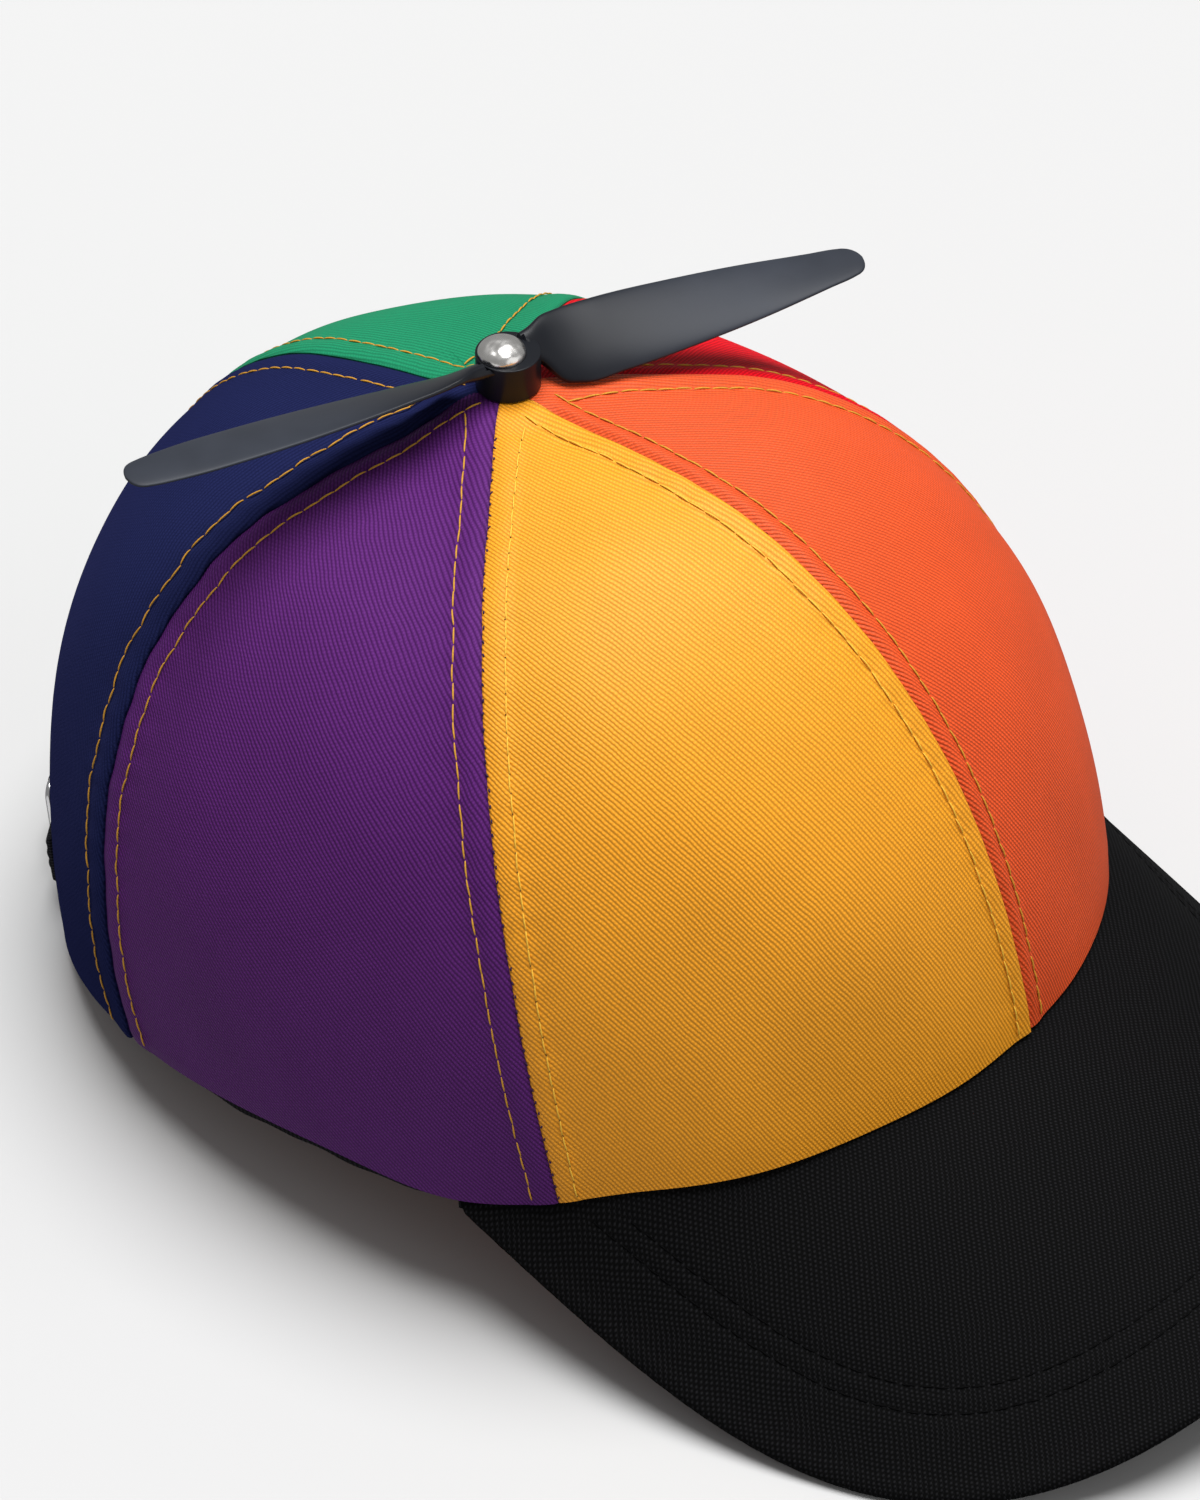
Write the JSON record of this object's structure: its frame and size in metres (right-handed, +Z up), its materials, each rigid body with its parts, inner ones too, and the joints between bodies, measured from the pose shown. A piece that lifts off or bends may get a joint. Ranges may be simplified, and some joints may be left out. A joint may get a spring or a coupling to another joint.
{
  "type": "propeller cap",
  "caption": "Cloth panel cap with an arched stiff peak, a buckled back strap and a free-spinning propeller riveted to the top of the crown.",
  "frame": {"origin": "on the table under the middle of the resting cap's box", "axes": "+Z up from the table, -Y towards the peak, +X towards the wearer's left"},
  "size_m": [0.1686, 0.2692, 0.1373],
  "materials": {
    "yellow_twill": "matte cotton twill",
    "orange_twill": "matte cotton twill",
    "red_twill": "matte cotton twill",
    "green_twill": "matte cotton twill",
    "navy_twill": "matte cotton twill",
    "purple_twill": "matte cotton twill",
    "black_cloth": "matte woven cotton",
    "black_plastic": "satin moulded",
    "polished_steel": "polished"
  },
  "bodies": {
    "cap": {"panel_front_right": "yellow_twill", "panel_front_left": "orange_twill", "panel_side_left": "red_twill", "panel_back_left": "green_twill", "panel_back_right": "navy_twill", "panel_side_right": "purple_twill", "peak": "black_cloth", "sweatband": "black_cloth", "back_strap": "black_cloth", "strap_buckle": "polished_steel", "rivet": "polished_steel"},
    "propeller": {"propeller": "black_plastic"}
  },
  "joints": [
    {"name": "propeller_spin", "type": "hinge", "parent": "cap", "child": "propeller", "pos_m": [0.00039, 0.04652, 0.131], "axis": [0, 0, 1], "continuous": true}
  ]
}
